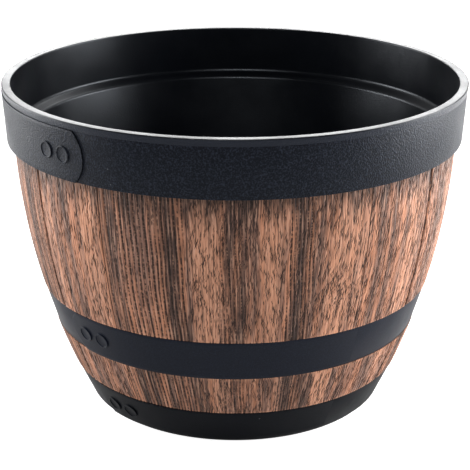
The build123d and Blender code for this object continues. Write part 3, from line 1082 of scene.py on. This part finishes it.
def middle_face_r(z):
    """Radius of the middle hoop's face."""
    return strap_r(z, middle_hoop_z, middle_top, hoop_recess)


def base_face_r(z):
    """Radius of the base hoop's face."""
    return strap_r(z, 0, base_hoop_h, hoop_recess)


rim_edges = (rim_hoop_z, rim_hoop_z, rim_hoop_top_z)
middle_edges = (middle_hoop_z, middle_hoop_z, middle_top)
base_edges = (0, foot_bevel, base_hoop_h)
laps = [
    # The edges are the hoop's lower one, the one where the plate starts, and the upper one.
    # toward is 1 where the strap runs on to the right from its tip, and -1 where it runs to the left
    Lap("rim_hoop", -35.8, -1, *rim_edges, 16.5 * mm, rim_face_r, rim_paint, "rim_hoop_enamel"),
    Lap("middle_hoop", -54.0, 1, *middle_edges, 11.5 * mm, middle_face_r, hoop_paint, "hoop_enamel"),
    Lap("base_hoop", -55.0, 1, *base_edges, 11.5 * mm, base_face_r, shaded_base_paint, "hoop_enamel"),
]
print("radii of the strap ends in mm:", [round(lap.end_r / mm, 1) for lap in laps])

# %% Strap ends
lap_rise = 0.65 * mm
lap_t = 0.9 * mm
lap_turn = 92.0  # degrees of the hoop that the plate lies along
lap_columns, lap_rows = 160, 12


def shape_plate(plate, lap, mid_r):
    """Draws the columns of a flat grid in to the round of the end, and lays them round the hoop."""
    half_h = (lap.high_z - lap.plate_low_z) / 2
    mid_z = (lap.high_z + lap.plate_low_z) / 2
    length = radians(lap_turn) * mid_r
    for corner in plate.data.vertices:
        along = length * ((corner.co.x + 1) / 2) ** 2.2
        reach = half_h
        if along < lap.end_r:
            reach = min(half_h, sqrt(max(lap.end_r**2 - (lap.end_r - along) ** 2, 0)))
        z = mid_z + corner.co.y * reach
        turn = radians(lap.tip_angle) + lap.toward * along / mid_r
        r = lap.face_r(z) + lap_rise * cos(along / mid_r)
        corner.co = (r * sin(turn), -r * cos(turn), z)


def mark_painted_shadow(plate, lap, mid_r):
    """Marks the wall round the tip for a painted shadow, black and dull."""
    layer = plate.data.attributes.new("painted_shadow", "FLOAT", "POINT")
    for number, corner in enumerate(plate.data.vertices):
        out = Vector((corner.co.x, corner.co.y, 0)).normalized()
        past = lap.toward * (atan2(corner.co.x, -corner.co.y) - radians(lap.tip_angle)) * mid_r
        wall = abs(corner.normal.dot(out)) < 0.6 and past < 0.8 * lap.end_r
        layer.data[number].value = 1.0 if wall else 0.0


for lap in laps:
    begin_piece()
    bpy.ops.mesh.primitive_grid_add(x_subdivisions=lap_columns, y_subdivisions=lap_rows, size=2)
    plate = bpy.context.object
    plate.name = plate.data.name = lap.hoop + "_lap"
    mid_r = lap.face_r((lap.high_z + lap.plate_low_z) / 2)
    shape_plate(plate, lap, mid_r)
    bpy.ops.object.mode_set(mode="EDIT")
    bpy.ops.mesh.select_all(action="SELECT")
    bpy.ops.mesh.remove_doubles(threshold=0.004 * mm)
    bpy.ops.object.mode_set(mode="OBJECT")
    middle_face = plate.data.polygons[len(plate.data.polygons) // 2]
    if middle_face.normal.dot(Vector((middle_face.center.x, middle_face.center.y, 0))) <= 0:
        bpy.ops.object.mode_set(mode="EDIT")
        bpy.ops.mesh.select_all(action="SELECT")
        bpy.ops.mesh.flip_normals()
        bpy.ops.object.mode_set(mode="OBJECT")
    apply_modifier(plate, "SOLIDIFY", thickness=lap_t, offset=-1)
    bevel_edges(plate, 0.14 * mm, 2, 50)
    smooth_piece(plate, 30)
    mark_painted_shadow(plate, lap, mid_r)
    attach(plate, "barrel")
    plate.data.materials.append(lap.paint)
    print(plate.name, "faces:", len(plate.data.polygons))

# %% [markdown]
# Two flat-headed rivets hold each lap. A rivet is a cylinder with its shank extruded from below.
# Its top face is inset and sunk a hair, which leaves the thin raised ring that catches the light
# round the edge of the head. The pair of one lap is one piece.

# %% Model a rivet
rivet_spacing = 11.3 * mm
rivet_head_r = 4.0 * mm
rivet_head_h = 0.75 * mm
rivet_seat_depth = 0.15 * mm
rivet_shank_r = 1.8 * mm
rivet_ring_w = 0.6 * mm
rivet_ring_h = 0.3 * mm


def pick_faces(piece, way):
    """Selects the faces of a piece that look up, or down where way is -1, in edit mode."""
    bpy.ops.object.mode_set(mode="EDIT")
    bpy.ops.mesh.select_mode(type="FACE")
    bpy.ops.mesh.select_all(action="DESELECT")
    bpy.ops.object.mode_set(mode="OBJECT")
    for face in piece.data.polygons:
        face.select = way * face.normal.z > 0.9
    bpy.ops.object.mode_set(mode="EDIT")


def model_rivet():
    """One rivet at the origin, with its head upwards."""
    begin_piece()
    bpy.ops.mesh.primitive_cylinder_add(vertices=48, radius=rivet_head_r, depth=rivet_head_h)
    rivet = bpy.context.object
    pick_faces(rivet, -1)
    bpy.ops.mesh.inset(thickness=rivet_head_r - rivet_shank_r, depth=0)
    bpy.ops.mesh.extrude_region_move(TRANSFORM_OT_translate={"value": (0, 0, -hoop_t)})
    pick_faces(rivet, 1)
    bpy.ops.mesh.inset(thickness=rivet_ring_w, depth=0)
    bpy.ops.mesh.extrude_region_move(TRANSFORM_OT_translate={"value": (0, 0, -rivet_ring_h)})
    bpy.ops.object.mode_set(mode="OBJECT")
    bevel_edges(rivet, 0.12 * mm, 3, 40)
    smooth_piece(rivet, 50)
    return rivet


# %% Set the rivets in the laps
for lap in laps:
    half_h = (lap.high_z - lap.low_z) / 2
    mid_z = (lap.high_z + lap.low_z) / 2
    mid_r = lap.face_r(mid_z)
    lean = atan2(lap.face_r(lap.high_z) - lap.face_r(lap.low_z), lap.high_z - lap.low_z)
    rivets = []
    for along in (half_h, half_h + rivet_spacing):
        rivet = model_rivet()
        turn = radians(lap.tip_angle) + lap.toward * along / mid_r
        normal = Vector((sin(turn) * cos(lean), -cos(turn) * cos(lean), -sin(lean)))
        r = mid_r + lap_rise * cos(along / mid_r)
        place = Vector((r * sin(turn), -r * cos(turn), mid_z))
        place += normal * (rivet_head_h / 2 - rivet_seat_depth)
        way = normal.to_track_quat("Z", "Y").to_matrix().to_4x4()
        rivet.data.transform(Matrix.Translation(place) @ way)
        rivets.append(rivet)
    begin_piece()
    for rivet in rivets:
        rivet.select_set(True)
    bpy.context.view_layer.objects.active = rivets[0]
    bpy.ops.object.join()
    pair = bpy.context.object
    pair.name = pair.data.name = lap.hoop + "_rivet_heads"
    seat_piece(pair, "barrel", [lap.hoop + "_rivets"], lap.paint)
    print(pair.name, "faces:", len(pair.data.polygons))

# %% [markdown]
# The liner is one moulding, turned like the hoops: floor, tapered wall, the shoulder that rests on
# the stave tops, the collar inside the rim hoop, and the lip. The lip and the corners are rounded
# one by one here, because their highlights draw the whole mouth of the tub. The middle drain hole is
# the open end of the outline, and four more are drilled, in line with those of the bottom head.

# %% Places on the liner's outline
liner_back = stave_t + liner_gap
liner_face = liner_back + liner_t
floor_z = head_top + liner_gap
floor_top = floor_z + liner_floor_t
chime_r = shell_r(chime_z)
chime_slope = chime_drop / (chime_r - shell_r(chime_in_z, stave_t))
shoulder_lift = seat_gap + liner_t * sqrt(1 + chime_slope**2)


def shoulder_point(r, lift):
    """Point on the shoulder at a radius, lifted off the stave tops' bevel."""
    return (r, chime_z + lift + (r - chime_r) * chime_slope)


collar_back = rim_hoop_t + collar_gap
collar_face = collar_back + liner_t
wall_back = shoulder_point(shell_r(chime_in_z, liner_back), seat_gap)
collar_back_foot = shoulder_point(rim_face_r(chime_z) - collar_back, seat_gap)
collar_foot = shoulder_point(rim_face_r(chime_z) - collar_face, shoulder_lift)
wall_top = shoulder_point(shell_r(chime_in_z, liner_face), shoulder_lift)
lip_in = (lip_r - lip_w, height)
lip_out = (lip_r, height)
lip_low_z = rim_hoop_top_z + 0.08 * mm
under_lip = (rim_face_r(lip_low_z) + 0.05 * mm, lip_low_z)
face_foot = (shell_r(floor_top, liner_face), floor_top)
back_foot = (shell_r(floor_z, liner_back), floor_z)
print("shoulder's height in mm:", round(wall_top[1] / mm, 1))

# %% Turn the liner
drain_r = 4 * mm
round_steps = 6


def round_corner(before, corner, after, radius):
    """Points of the arc that rounds a corner of an outline."""
    corner = Vector(corner)
    back = (Vector(before) - corner).normalized()
    ahead = (Vector(after) - corner).normalized()
    half = back.angle(ahead) / 2
    centre = corner + (back + ahead).normalized() * (radius / sin(half))
    start = corner + back * (radius / np.tan(half))
    end = corner + ahead * (radius / np.tan(half))
    points = []
    for step in range(round_steps + 1):
        chord = start.lerp(end, step / round_steps) - centre
        points.append(tuple(centre + chord.normalized() * radius))
    return points


liner_outline = [(drain_r, floor_z)]
liner_outline += round_corner((0, floor_z), back_foot, wall_back, 7 * mm)
liner_outline += [wall_back, collar_back_foot, (rim_face_r(lip_low_z) - collar_back, lip_low_z)]
liner_outline += [under_lip]
liner_outline += round_corner(under_lip, lip_out, lip_in, 0.5 * mm)
liner_outline += round_corner(lip_out, lip_in, collar_foot, 0.7 * mm)
liner_outline += round_corner(lip_in, collar_foot, wall_top, 2.6 * mm)
liner_outline += round_corner(collar_foot, wall_top, face_foot, 2.4 * mm)
liner_outline += round_corner(wall_top, face_foot, (0, floor_top), 6 * mm)
liner_outline += [(drain_r, floor_top)]
liner = draw_outline("liner_moulded", liner_outline, 0)
spin_outline(liner, 360, hoop_steps)
print("points in the liner's outline:", len(liner_outline))

# %% Drill the drain holes and finish the liner
drain_circle_r = 45 * mm
for quarter in range(4):
    way = radians(90 * quarter)
    place = (drain_circle_r * cos(way), drain_circle_r * sin(way), floor_z)
    begin_piece()
    bpy.ops.mesh.primitive_cylinder_add(
        vertices=48, radius=drain_r, depth=6 * liner_floor_t, location=place
    )
    drill = bpy.context.object
    apply_modifier(liner, "BOOLEAN", object=drill, operation="DIFFERENCE", solver="EXACT")
    bpy.data.objects.remove(drill)
smooth_piece(liner, 30)
layer = liner.data.attributes.new("leather", "FLOAT", "POINT")
for number, corner in enumerate(liner.data.vertices):
    out = sqrt(corner.co.x**2 + corner.co.y**2)
    on_edge = out > lip_r - 0.5 * mm and corner.co.z < height - 0.4 * mm
    layer.data[number].value = 1.0 if on_edge else 0.0
seat_piece(liner, "liner", ["liner"], liner_plastic)
print("faces in the liner:", len(liner.data.polygons))
